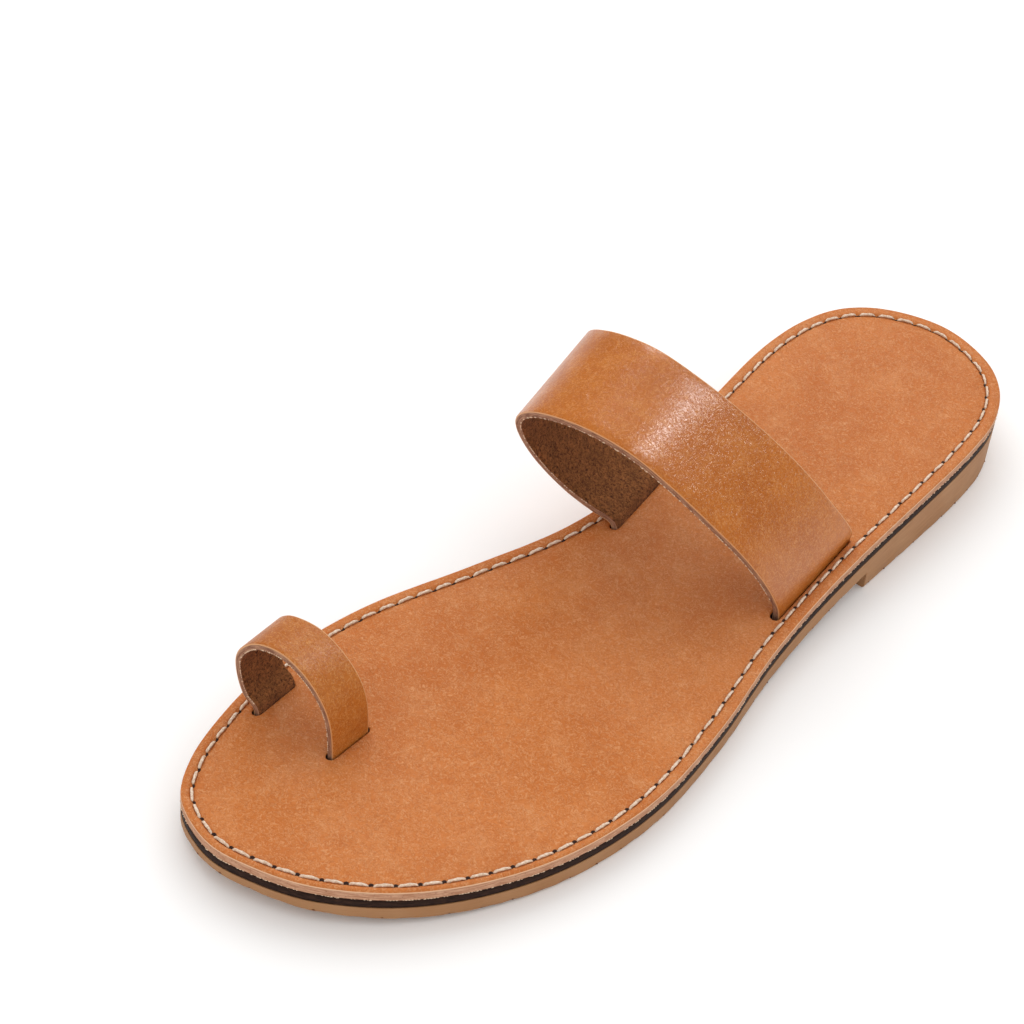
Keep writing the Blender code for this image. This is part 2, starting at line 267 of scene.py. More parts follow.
def suede(name, deep, light):
    mat, tree, shader = new_material(name, 0.95)
    where = add(tree, "ShaderNodeTexCoord").outputs["Object"]
    nap = noise(tree, 0.65, where, 3.0, 0.7, 0.8)
    clumps = noise(tree, 4.0, where, 2.0, 0.5)
    worms = curls(tree, where, 1.1, 0.07)
    tone = blend(tree, span(tree, nap, 0.36, 0.66), deep, light)
    tone = blend(tree, span(tree, worms, 0.0, 1.0, 0.0, 0.45), tone, "#B4743F")
    tone = blend(tree, span(tree, clumps, 0.35, 0.65, 0.25, 0.0), tone, deep)
    set_inputs(tree, shader, {
        "Base Color": tone,
        "Normal": bump(tree, nap, 0.25, 0.8),
        "Specular IOR Level": 0.1,
        "Sheen Weight": 0.05,
    })
    return mat


# The footbed's edge carries a painted highlight along its upper corner, from 2.1 mm up.
footbed_edge = cut_edge("footbed_cut_edge", "#C89A7C", "#A87556", "#7C4B33", 2.1)
strap_edge = cut_edge("strap_cut_edge", "#B08468", "#7E5440", "#543122")
# A lighter colour for the straps' outer corners: a painted highlight where the burnished corner catches the
# light.
strap_corner_highlight = plain("corner_highlight_on_strap", "#CE9562", 0.5)
strap_suede = suede("strap_suede", "#40210F", "#9C6238")
print("made", footbed_edge.name, strap_edge.name, strap_suede.name)

# %% [markdown]
# ## Board, rubber, thread
# The midsole is dark fibre board with a buffed edge. The outsole is honey coloured rubber; its sides
# are sanded flush with the leather, which leaves fine lines along the edge. The thread is waxed
# linen, two plies twisted together, and the awl's holes are simply dark.
# The awl holes' dark colour is painted shade, for their depth.

# %% Board, rubber, thread, hole


def board():
    mat, tree, shader = new_material("midsole_fibre_board", 0.6)
    _, lines = strip_and_lines(tree, 0.15)
    streaks = noise(tree, 0.3, lines, 2.0, 0.6)
    tone = blend(tree, span(tree, streaks, 0.4, 0.7), "#24120B", "#3A2318")
    ridges = bump(tree, streaks, 0.05, 0.6)
    set_inputs(tree, shader, {"Base Color": tone, "Normal": ridges, "Specular IOR Level": 0.12})
    return mat


def rubber():
    mat, tree, shader = new_material("outsole_sanded_rubber", 0.62)
    _, lines = strip_and_lines(tree, 0.05)
    streaks = noise(tree, 0.45, lines, 3.0, 0.6)
    where = add(tree, "ShaderNodeTexCoord").outputs["Object"]
    clouds = noise(tree, 9.0, where, 2.0, 0.5)
    tone = blend(tree, span(tree, streaks, 0.3, 0.7), "#986A43", "#A97B53")
    tone = blend(tree, span(tree, clouds, 0.4, 0.7, 0.0, 0.3), tone, "#B08660")
    ridges = bump(tree, streaks, 0.04, 0.5)
    set_inputs(tree, shader, {"Base Color": tone, "Normal": ridges, "Specular IOR Level": 0.25})
    return mat


def linen():
    mat, tree, shader = new_material("waxed_linen_thread", 0.55)
    where = add(tree, "ShaderNodeTexCoord").outputs["Object"]
    flax = noise(tree, 0.5, where, 2.0, 0.6)
    tone = blend(tree, span(tree, flax, 0.35, 0.65), "#C7A88A", "#EBD6C1")
    set_inputs(tree, shader, {"Base Color": tone})
    return mat


midsole_board = board()
sole_rubber = rubber()
thread = linen()
fibre = plain("leather_fibre", "#E2C4A4", 0.9)
# Painted shade: the dark colour stands for the depth of the rubber's small pits.
pit = plain("rubber_pit_painted_shade", "#6B3A22", 0.9)
# Painted shade: the dark colour stands for the depth of each awl hole.
awl_hole_shade = plain("awl_hole_shade", "#35190D", 0.9)
# Painted shade: near black for the slots' walls, also used for the footbed's underside.
slot_shade = plain("slot_wall_painted_shade", "#2E1A10", 0.95)
print("made", midsole_board.name, sole_rubber.name, thread.name, awl_hole_shade.name)

# %% [markdown]
# ## Reading the sole's outline
# Every layer of the sole shares one outline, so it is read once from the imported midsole: for each
# place along it, how far it reaches to either side, and how high it lies. A smooth closed curve
# through those points is then walked in even steps. Heights are smoothed over a few millimetres, so
# that no facet of the solid shows in the sheen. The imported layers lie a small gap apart, as solids
# have to; the dressed ones meet.

# %% Outline and height of the footbed
FOOTBED = 3.0
MIDSOLE = 1.9
LAYER_GAP = 0.3
MIDSOLE_DROP = FOOTBED + LAYER_GAP
OUTSOLE_DROP = MIDSOLE_DROP + MIDSOLE + LAYER_GAP
HEEL_BREAST = 47.0
STEP = 1.2
HEIGHT_STEP = 0.5
HEIGHT_WINDOW = 24
HEIGHT_BLUR = 8.0


def layer_rows(node):
    """Along, big toe side, little toe side and upper height of a layer, in mm."""
    points = np.array([v.co for v in node.data.vertices]) / MM
    rows = []
    for along in np.unique(points[:, 1].round(2)):
        same = points[np.abs(points[:, 1] - along) < 0.02]
        rows.append((along, same[:, 0].min(), same[:, 0].max(), same[:, 2].max()))
    return np.array(rows)


def smooth_path(points, per_span, closed=False):
    """Points of a centripetal curve that passes through every given point."""
    points = [np.array(p, dtype=float) for p in points]
    if closed:
        points = [points[-1]] + points + points[:2]
    else:
        points = [2 * points[0] - points[1]] + points + [2 * points[-1] - points[-2]]
    path = []
    for a, b, c, d in zip(points, points[1:], points[2:], points[3:]):
        tb = np.linalg.norm(b - a) ** 0.5
        tc = tb + np.linalg.norm(c - b) ** 0.5
        td = tc + np.linalg.norm(d - c) ** 0.5
        for t in np.linspace(tb, tc, per_span, endpoint=False):
            ab = ((tb - t) * a + t * b) / tb
            bc = ((tc - t) * b + (t - tb) * c) / (tc - tb)
            cd = ((td - t) * c + (t - tc) * d) / (td - tc)
            abc = ((tc - t) * ab + t * bc) / tc
            bcd = ((td - t) * bc + (t - tb) * cd) / (td - tb)
            path.append(((tc - t) * abc + (t - tb) * bcd) / (tc - tb))
    if not closed:
        path.append(points[-2])
    return np.array(path)


def even_steps(path, steps, closed=False):
    """The same path with points spaced evenly along it."""
    if closed:
        path = np.vstack([path, path[:1]])
    lengths = np.r_[0.0, np.cumsum(np.linalg.norm(np.diff(path, axis=0), axis=1))]
    places = np.linspace(0.0, lengths[-1], steps + 1)
    even = np.stack([np.interp(places, lengths, path[:, k]) for k in range(path.shape[1])], axis=1)
    return even[:-1] if closed else even


def path_length(path, closed=False):
    ends = np.roll(path, -1, axis=0) if closed else path[1:]
    starts = path if closed else path[:-1]
    return float(np.linalg.norm(ends - starts, axis=1).sum())


def bell(window, width):
    """Weights that smooth a row of values, over a window to either side."""
    weights = np.exp(-0.5 * (np.arange(-window, window + 1) / width) ** 2)
    return weights / weights.sum()


rows = layer_rows(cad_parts["midsole"])
fine_along = np.arange(-145.0, 145.1, HEIGHT_STEP)
fine_height = np.interp(fine_along, rows[:, 0], rows[:, 3] + MIDSOLE_DROP)
fine_height = np.pad(fine_height, HEIGHT_WINDOW, mode="edge")
fine_height = np.convolve(fine_height, bell(HEIGHT_WINDOW, HEIGHT_BLUR), mode="valid")


def top_height(along):
    return np.interp(along, fine_along, fine_height)


tip, back = rows[0], rows[-1]
inner_rows = rows[1:-1]
loop = [(tip[1], tip[0])] + [(r[2], r[0]) for r in inner_rows]
loop += [(back[1], back[0])] + [(r[1], r[0]) for r in inner_rows[::-1]]
dense_loop = smooth_path([loop[k] for k in range(0, len(loop), 2)], 12, closed=True)
outline = even_steps(dense_loop, int(path_length(dense_loop, True) / STEP), closed=True)
print("outline is", round(path_length(outline, True)), "mm round, in", len(outline), "steps")


def outwards(ring):
    run = np.roll(ring, -1, axis=0) - np.roll(ring, 1, axis=0)
    run /= np.linalg.norm(run, axis=1)[:, None]
    return np.stack([run[:, 1], -run[:, 0]], axis=1)


def inset(ring, amount):
    """The ring moved inwards by an amount, which may differ from point to point."""
    return ring - outwards(ring) * np.reshape(amount, (-1, 1))


# %% [markdown]
# ## Where the seam runs
# The footbed is sewn to the board two to four millimetres inside its edge, in a groove, and the
# thread pulls the leather beside it down. The inset varies a little, as it does in hand guided work,
# so it comes from a short table.

# %% The seam's line
SEAM_INSET = (
    # along, big toe side, little toe side
    (-133.0, 2.3, 2.1),
    (-115.0, 2.7, 1.8),
    (-90.0, 2.8, 1.8),
    (-60.0, 2.9, 2.3),
    (-35.0, 3.1, 3.0),
    (0.0, 3.1, 3.2),
    (40.0, 3.0, 2.9),
    (80.0, 3.1, 3.1),
    (105.0, 3.3, 3.4),
    (125.0, 3.6, 3.6),
    (133.0, 3.7, 3.7),
)
GROOVE_DEPTH = 0.45
GROOVE_HALF = 0.90
DIP = 0.35
DIP_REACH = 3.0
SEAM_WINDOW = 12
SEAM_BLUR = 5.0


def seam_distance():
    """How far the seam lies inside the outline, at each of its points."""
    table = np.array(SEAM_INSET)
    along = outline[:, 1]
    middle = np.interp(along, rows[:, 0], (rows[:, 1] + rows[:, 2]) / 2)
    big_toe_side, little_toe_side = [np.interp(along, table[:, 0], table[:, k]) for k in (1, 2)]
    distance = np.where(outline[:, 0] < middle, big_toe_side, little_toe_side)
    wrapped = np.r_[distance[-SEAM_WINDOW:], distance, distance[:SEAM_WINDOW]]
    return np.convolve(wrapped, bell(SEAM_WINDOW, SEAM_BLUR), mode="valid")


seam_inset = seam_distance()
seam = inset(outline, seam_inset)
print("seam is", round(path_length(seam, True)), "mm long")
print("inset of the seam is", round(seam_inset.min(), 1), "to", round(seam_inset.max(), 1), "mm")

# %% [markdown]
# ## Meshes from rings
# A sole layer is a stack of closed rings joined by quads, closed above and below by a sheet of
# triangles. The triangulation takes the last ring and the slots as its limits, so that slots are
# real openings. Each piece also gets a UV map called strip, in metres: u runs along the edge, v
# across it.

# %% Mesh helpers
TRIANGLE_ROW = 0.87
CLEAR_OF_LIMIT = 0.45
WELD = 2e-6


def inside(points, ring):
    """Which points lie within a closed ring."""
    x, y = points[:, 0][:, None], points[:, 1][:, None]
    x0, y0 = ring[:, 0][None], ring[:, 1][None]
    x1, y1 = np.roll(ring, -1, axis=0)[:, 0][None], np.roll(ring, -1, axis=0)[:, 1][None]
    crosses = (y0 > y) != (y1 > y)
    rise = np.where(y1 == y0, 1.0, y1 - y0)
    return (crosses & (x < x0 + (y - y0) / rise * (x1 - x0))).sum(axis=1) % 2 == 1


def fill(ring, holes, spacing):
    """Triangles over the area within a ring but outside the holes: points and faces."""
    low, high = ring.min(axis=0), ring.max(axis=0)
    grid = np.array([
        (x + (j % 2) * spacing / 2, y)
        for j, y in enumerate(np.arange(low[1] + spacing / 2, high[1], spacing * TRIANGLE_ROW))
        for x in np.arange(low[0], high[0], spacing)
    ])
    limits = [ring] + holes
    keep = inside(grid, ring)
    for hole in holes:
        keep &= ~inside(grid, hole)
    for limit in limits:
        gaps = np.linalg.norm(grid[:, None, :] - limit[None, ::2, :], axis=2).min(axis=1)
        keep &= gaps > spacing * CLEAR_OF_LIMIT
    points = np.vstack(limits + [grid[keep]])
    edges = []
    first = 0
    for limit in limits:
        count = len(limit)
        edges += [(first + k, first + (k + 1) % count) for k in range(count)]
        first += count
    done, _, faces, _, _, _ = delaunay_2d_cdt([Vector(p) for p in points], edges, [], 0, 1e-6)
    done = np.array([tuple(p) for p in done])
    faces = np.array([f for f in faces if len(f) == 3])
    centres = done[faces].mean(axis=1)
    good = inside(centres, ring)
    for hole in holes:
        good &= ~inside(centres, hole)
    return done, faces[good]


def place_on(ring, heights):
    return np.column_stack([ring, np.broadcast_to(heights, len(ring))])


def follow(up):
    """Heights that follow the footbed's top face, as a function of places in plan."""
    return lambda flat: top_height(flat[:, 1]) + up


def level(ring, up):
    return place_on(ring, follow(up)(ring))


class Builder:
    """Collects vertices and faces with a finish and strip coordinates, and welds them into one mesh."""

    def __init__(self):
        self.points = []
        self.faces = []
        self.finishes = []
        self.strips = []

    def rings(self, rings, finish, strip):
        """Quads between closed rings; finish and strip each say theirs for ring i and column k."""
        first = len(self.points)
        count = len(rings[0])
        for ring in rings:
            self.points += [tuple(p) for p in ring]
        for i in range(len(rings) - 1):
            for k in range(count):
                corners = ((i, k), (i, k + 1), (i + 1, k + 1), (i + 1, k))
                self.faces.append([first + r * count + c % count for r, c in corners])
                self.finishes.append(finish(i, k))
                self.strips.append([strip(r, c) for r, c in corners])

    def sheet(self, ring, holes, spacing, heights, finish, upwards):
        """Triangles within a ring but outside the holes, at heights that a function gives."""
        flat, faces = fill(ring, holes, spacing)
        points = place_on(flat, heights(flat))
        first = len(self.points)
        self.points += [tuple(p) for p in points]
        for face in faces:
            a, b, c = [points[k] for k in face]
            turn = (b[0] - a[0]) * (c[1] - a[1]) - (b[1] - a[1]) * (c[0] - a[0])
            order = list(face) if (turn > 0) == upwards else list(face)[::-1]
            self.faces.append([first + int(k) for k in order])
            self.finishes.append(finish)
            self.strips.append([(points[k][0] * MM, points[k][1] * MM) for k in order])

    def polygon(self, points, finish, strip):
        first = len(self.points)
        self.points += [tuple(p) for p in points]
        self.faces.append([first + k for k in range(len(points))])
        self.finishes.append(finish)
        self.strips.append(strip)

    def make(self, name, finishes, sharp):
        """One object; edges that turn by more than sharp degrees stay crisp."""
        mesh = bmesh.new()
        verts = [mesh.verts.new(Vector(p) * MM) for p in self.points]
        strip = mesh.loops.layers.uv.new("strip")
        for corners, finish, places in zip(self.faces, self.finishes, self.strips):
            face = mesh.faces.new([verts[k] for k in corners])
            face.material_index = finish
            for corner, place in zip(face.loops, places):
                corner[strip].uv = place
        bmesh.ops.remove_doubles(mesh, verts=mesh.verts, dist=WELD)
        bmesh.ops.recalc_face_normals(mesh, faces=mesh.faces)
        data = bpy.data.meshes.new(name)
        mesh.to_mesh(data)
        mesh.free()
        data.shade_smooth()
        data.set_sharp_from_angle(angle=math.radians(sharp))
        for finish in finishes:
            data.materials.append(finish)
        piece = bpy.data.objects.new(name, data)
        bpy.context.scene.collection.objects.link(piece)
        return piece


def open_edges(piece):
    """How many edges don't have exactly two faces."""
    mesh = bmesh.new()
    mesh.from_mesh(piece.data)
    count = sum(1 for e in mesh.edges if len(e.link_faces) != 2)
    mesh.free()
    return count


# %% [markdown]
# ## The straps' routes
# Each strap is a flat strip of leather, so two lines say all: where its front edge and its rear edge
# run, from the slot on the big toe side, over the foot, into the other slot. The rows repeat the
# solid's own sizes, because a dressed piece has to lie where its solid does. Only two rows near the
# end of the instep strap's rear edge differ, by a millimetre or so, where the real strap bulges
# before it dives into its slot.

# %% Strap tables
STRAP_FRONT = (
    # across, along, up
    (-17.6, 8.8, 12.0),
    (-22.5, 7.2, 14.2),
    (-29.0, 4.3, 18.5),
    (-35.5, -0.8, 27.5),
    (-38.2, -5.5, 37.0),
    (-36.6, -9.6, 45.3),
    (-30.5, -12.8, 52.6),
    (-20.5, -14.4, 57.3),
    (-9.5, -14.7, 59.2),
    (0.0, -13.3, 57.6),
    (8.5, -9.5, 51.5),
    (17.2, -4.6, 43.0),
    (25.8, 1.4, 32.6),
    (30.7, 6.9, 22.0),
    (31.9, 11.4, 12.3),
)
STRAP_REAR = (
    (-21.0, 39.3, 14.6),
    (-25.5, 38.0, 16.3),
    (-32.0, 35.0, 21.0),
    (-38.3, 30.5, 31.0),
    (-41.2, 25.5, 43.0),
    (-39.8, 21.2, 53.2),
    (-32.0, 18.0, 59.4),
    (-23.5, 16.8, 62.3),
    (-15.0, 16.3, 63.3),
    (-3.0, 18.6, 59.5),
    (8.0, 24.2, 51.2),
    (18.6, 30.7, 40.6),
    (27.0, 37.2, 28.6),
    (30.9, 42.3, 19.4),
    (29.9, 44.2, 15.0),
)
STRAP_THICK = 2.0
LOOP_FRONT = (
    (-37.2, -97.2, 10.3),
    (-40.0, -97.5, 13.0),
    (-42.0, -98.0, 20.0),
    (-41.4, -98.4, 26.0),
    (-37.0, -98.5, 31.8),
    (-32.0, -98.2, 34.1),
    (-27.0, -97.8, 34.1),
    (-21.5, -97.2, 31.1),
    (-17.2, -96.6, 26.0),
    (-15.0, -96.0, 20.0),
    (-14.2, -95.5, 10.2),
)
LOOP_REAR = (
    (-38.0, -84.4, 10.0),
    (-40.9, -84.9, 13.5),
    (-42.6, -85.4, 21.0),
    (-41.2, -85.7, 27.5),
    (-38.0, -85.7, 31.3),
    (-33.0, -85.6, 33.1),
    (-27.5, -85.3, 33.1),
    (-21.8, -84.9, 30.3),
    (-17.0, -84.5, 25.5),
    (-14.9, -84.0, 19.5),
    (-14.5, -83.4, 10.0),
)
LOOP_THICK = 1.8
SLOT_ROOM = 0.18


def slot_outline(front, rear, inwards, thick, front_room, rear_room):
    """Round ended opening for one end of a strap, which runs on past its edges by the two rooms."""
    start, end = np.array(front[:2]), np.array(rear[:2])
    run = (end - start) / np.linalg.norm(end - start)
    square = np.array([run[1], -run[0]]) * inwards
    half = thick / 2 + SLOT_ROOM
    middle_line = square * (thick / 2)
    a = start + middle_line - run * (front_room - half)
    b = end + middle_line + run * (rear_room - half)
    turn = np.linspace(0.0, math.pi, 9)
    far = [b + run * half * math.sin(t) + square * half * math.cos(t) for t in turn]
    near = [a - run * half * math.sin(t) - square * half * math.cos(t) for t in turn]
    steps = 2 * int(np.linalg.norm(b - a)) + 2 * len(turn)
    ring = even_steps(np.array(far + near), steps, closed=True)
    area = (ring[:, 0] * np.roll(ring[:, 1], -1) - np.roll(ring[:, 0], -1) * ring[:, 1]).sum()
    return ring if area > 0 else ring[::-1]


slots = [
    slot_outline(STRAP_FRONT[0], STRAP_REAR[0], 1, STRAP_THICK, 0.6, 0.4),
    slot_outline(STRAP_FRONT[-1], STRAP_REAR[-1], -1, STRAP_THICK, 1.6, 0.4),
    slot_outline(LOOP_FRONT[0], LOOP_REAR[0], 1, LOOP_THICK, 0.8, 0.5),
    slot_outline(LOOP_FRONT[-1], LOOP_REAR[-1], -1, LOOP_THICK, 1.0, 0.9),
]
print("slots are", [round(float(np.ptp(s[:, 1])), 1) for s in slots], "mm long")

# %% [markdown]
# ## The footbed
# A maker cuts this from 3 mm leather, sands the edge, presses the groove and rounds the top corner.
# As rings from the bottom edge: up the cut side, round the corner, over a slightly raised rim, down
# into the groove and out again. Inside that, one triangulated sheet leaves the four slots open, and
# each slot has a rolled lip and its own dark wall.
# The near black of the slots' walls is painted shade.

# %% The footbed
RIM_PROFILE = (
    # inset from the outline, up from the top face
    (0.10, -2.95),
    (0.00, -2.75),
    (0.00, -2.10),
    (0.00, -1.50),
    (0.00, -0.90),
    (0.03, -0.50),
    (0.16, -0.22),
    (0.45, -0.04),
)
RAW_LEVELS = 5
UNDERSIDE = -2.95
LEAST_RIM = 0.95
LIP = 0.45
SLOT_WALL = (
    # share of the lip's width, down from the top face
    (1.0, 0.0),
    (0.4, 0.10),
    (0.08, 0.32),
    (0.0, 0.65),
)
LIP_LEVELS = 2
TOP_SPACING = 2.2
FLAT_SPACING = 7.0


def groove_levels():
    """Inset from the seam's line and height, across the groove."""
    levels = []
    for share in np.linspace(-1.0, 1.0, 9):
        groove = GROOVE_DEPTH * math.cos(share * math.pi / 2) ** 2
        levels.append((share * GROOVE_HALF, -groove - DIP * (0.5 + 0.5 * share)))
    return levels


def pressed_height(points, inner):
    """Height of the top face, which the stitching pulls down towards the seam."""
    gaps = np.linalg.norm(points[:, None, :] - inner[None, :, :], axis=2).min(axis=1)
    return top_height(points[:, 1]) - DIP * np.exp(-((gaps / DIP_REACH) ** 1.3))


def build_footbed():
    builder = Builder()
    rings = [level(inset(outline, out), up) for out, up in RIM_PROFILE]
    for shift, up in groove_levels():
        rings.append(level(inset(outline, np.maximum(seam_inset + shift, LEAST_RIM)), up))
    across = np.r_[0.0, np.cumsum([np.linalg.norm(b[0] - a[0]) for a, b in zip(rings, rings[1:])])]
    builder.rings(
        rings, lambda i, k: 1 if i < RAW_LEVELS else 0, lambda i, k: (k * STEP * MM, across[i] * MM),
    )
    inner = rings[-1][:, :2]
    lips = [inset(slot, -LIP) for slot in slots]
    builder.sheet(inner, lips, TOP_SPACING, lambda flat: pressed_height(flat, inner), 0, True)
    for slot, lip in zip(slots, lips):
        heights = pressed_height(lip, inner)
        walls = [place_on(inset(slot, -LIP * share), heights - down) for share, down in SLOT_WALL]
        walls.append(level(slot, UNDERSIDE))
        # Below the lip the wall takes finish 2, the near black painted shade, as does the underside below.
        builder.rings(walls, lambda i, k: 0 if i < LIP_LEVELS else 2, lambda i, k: (k * MM, i * MM))
    builder.sheet(rings[0][:, :2], slots, FLAT_SPACING, follow(UNDERSIDE), 2, False)
    return builder.make("footbed", [footbed_grain, footbed_edge, slot_shade], 60.0)


footbed = build_footbed()
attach(footbed, "root")
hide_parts("insole")
print("footbed has", len(footbed.data.polygons), "faces and", open_edges(footbed), "open edges")

# %% [markdown]
# ## Midsole and outsole
# Both follow the footbed. The board fills the room between leather and rubber, and its edge is set
# back a hair, as buffing leaves it. The rubber is one piece: a forepart that thins towards the toe,
# and behind the heel breast a block that stands on the floor. Small nicks in its lower edge are left
# by the sanding wheel.

# %% Midsole
BOARD_PROFILE = (
    # inset from the outline, up from the footbed's top face
    (0.25, -5.45),
    (0.12, -5.30),
    (0.12, -4.30),
    (0.12, -3.15),
    (0.25, -3.03),
)
BOARD_STRIP = 0.6


def build_midsole():
    builder = Builder()
    rings = [level(inset(outline, out), up) for out, up in BOARD_PROFILE]
    builder.rings(rings, lambda i, k: 0, lambda i, k: (k * STEP * MM, i * BOARD_STRIP * MM))
    for ring, profile, upwards in ((rings[-1], BOARD_PROFILE[-1], True), (rings[0], BOARD_PROFILE[0], False)):
        builder.sheet(ring[:, :2], [], FLAT_SPACING, follow(profile[1]), 0, upwards)
    return builder.make("midsole_board", [midsole_board], 50.0)


midsole = build_midsole()
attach(midsole, "root")
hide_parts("midsole")
print("midsole has", len(midsole.data.polygons), "faces and", open_edges(midsole), "open edges")

# %% Outsole
RUBBER_LINE = (
    # along, thickness of the forepart
    (-133.4, 2.4),
    (-126.0, 3.2),
    (-115.0, 3.7),
    (-80.0, 4.1),
    (-35.0, 4.1),
    (0.0, 4.8),
    (47.0, 5.0),
)
RUBBER_TOP = 0.03 - OUTSOLE_DROP
RUBBER_STRIP = (0.0, 0.5, 4.0, 8.0, 12.0)
TREAD_CHAMFER = 0.5
TREAD_SPACING = 5.0
NICK_SEED = 4


def rubber_bottom(along):
    table = np.array(RUBBER_LINE)
    low = top_height(along) - OUTSOLE_DROP - np.interp(along, table[:, 0], table[:, 1])
    return np.where(np.asarray(along) > HEEL_BREAST, 0.0, np.maximum(low, 0.0))


def nick_depths():
    """Small random scallops in the lower edge, 5 to 10 mm apart."""
    random = np.random.default_rng(NICK_SEED)
    depth = np.zeros(len(outline))
    place = 0.0
    total = len(outline) * STEP
    while place < total:
        width = random.uniform(0.6, 1.2)
        size = random.uniform(0.08, 0.35)
        gap = (np.arange(len(outline)) * STEP - place + total / 2) % total - total / 2
        depth = np.maximum(depth, size * np.exp(-0.5 * (gap / width) ** 2))
        place += random.uniform(5.0, 10.0)
    return depth


def sole_ring():
    """The outline with two more points at each end of the heel breast: place, is forepart, nick."""
    nicks = nick_depths()
    fore = outline[:, 1] <= HEEL_BREAST
    ring = []
    for k, here in enumerate(outline):
        n = (k + 1) % len(outline)
        ring.append((*here, fore[k], nicks[k]))
        if fore[k] != fore[n]:
            share = (HEEL_BREAST - here[1]) / (outline[n][1] - here[1])
            across = here[0] + share * (outline[n][0] - here[0])
            ring += [(across, HEEL_BREAST, fore[k], 0.0), (across, HEEL_BREAST, fore[n], 0.0)]
    return np.array(ring)


def build_outsole():
    builder = Builder()
    ring = sole_ring()
    flat, is_fore, nicks = ring[:, :2], ring[:, 2] > 0.5, ring[:, 3]
    on_breast = flat[:, 1] == HEEL_BREAST
    small = inset(flat, TREAD_CHAMFER)
    small[on_breast, 1] = HEEL_BREAST
    waist = top_height(HEEL_BREAST) - OUTSOLE_DROP - RUBBER_LINE[-1][1]

    def forepart(points):
        """Height of the forepart's underside, which ends at the waist above the heel breast."""
        along = points[:, 1]
        return np.where(along >= HEEL_BREAST, waist, rubber_bottom(along))

    low = np.where(is_fore, forepart(small), 0.0)
    start = low + TREAD_CHAMFER + nicks
    upper = follow(RUBBER_TOP)(flat)
    rings = [place_on(small, low)]
    rings += [place_on(flat, start + (upper - start) * share) for share in (0.0, 0.33, 0.66, 1.0)]
    builder.rings(rings, lambda i, k: 0, lambda i, k: (k * STEP * MM, RUBBER_STRIP[i] * MM))
    fore_a, heel_a, heel_b, fore_b = np.flatnonzero(on_breast)
    # The chamfer's quads at both ends of the breast lie in its plane, so the breast's own face
    # takes their place.
    for k in (heel_b, fore_a):
        for made in (builder.faces, builder.finishes, builder.strips):
            del made[k]
    builder.sheet(flat, [], FLAT_SPACING, follow(RUBBER_TOP), 0, True)
    builder.sheet(small[is_fore], [], TREAD_SPACING, forepart, 0, False)
    builder.sheet(small[~is_fore], [], TREAD_SPACING, lambda points: 0.0, 0, False)
    first_end = [rings[0][heel_a], rings[1][heel_a], rings[1][fore_a], rings[0][fore_a]]
    second_end = [rings[0][fore_b], rings[1][fore_b], rings[1][heel_b], rings[0][heel_b]]
    breast = first_end + second_end
    builder.polygon(breast, 0, [(p[0] * MM, p[2] * MM) for p in breast])
    return builder.make("outsole_rubber", [sole_rubber], 40.0)


outsole = build_outsole()
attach(outsole, "root")
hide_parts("outsole")
print("outsole has", len(outsole.data.polygons), "faces and", open_edges(outsole), "open edges")

# %% [markdown]
# ## Straps
# A strap is swept: at each of many places along its two edge lines stands the same cross-section, a
# flat strip with slightly rounded corners. The outer face takes the grain leather, the narrow sides
# the cut edge, and the inner face the suede.
# The outer corners take a lighter colour, a painted highlight.

# %% Straps
CORNER_OUT = 0.40
CORNER_IN = 0.25
ROUND = 0.29
STRAP_TUCK = 2.7
SECTION_STEPS = 12


def strip_section(width, thick, steps):
    """Cross-section over the outer face and back along the inner one: (across, depth, finish)."""
    outer = [(CORNER_OUT + (width - 2 * CORNER_OUT) * k / steps, 0.0, 0) for k in range(steps + 1)]
    # Finish 3, on the outer corners here and below, is the lighter painted highlight.
    outer[-1] = (width - CORNER_OUT, 0.0, 3)
    rear = [
        (width - ROUND * CORNER_OUT, ROUND * CORNER_OUT, 3), (width, CORNER_OUT, 1), (width, thick / 2, 1),
        (width, thick - CORNER_IN, 1), (width - ROUND * CORNER_IN, thick - ROUND * CORNER_IN, 2),
    ]
    inner = [(width - CORNER_IN - (width - 2 * CORNER_IN) * k / steps, thick, 2) for k in range(steps + 1)]
    front = [
        (ROUND * CORNER_IN, thick - ROUND * CORNER_IN, 1), (0.0, thick - CORNER_IN, 1), (0.0, thick / 2, 1),
        (0.0, CORNER_OUT, 3), (ROUND * CORNER_OUT, ROUND * CORNER_OUT, 0),
    ]
    return outer + rear + inner + front


def edge_line(edge_rows, steps):
    """A strap's edge as a smooth line that also goes down into both slots."""
    ends = [(x, y, float(top_height(y)) - STRAP_TUCK) for x, y, z in (edge_rows[0], edge_rows[-1])]
    return even_steps(smooth_path([ends[0], *edge_rows, ends[1]], 16), steps)


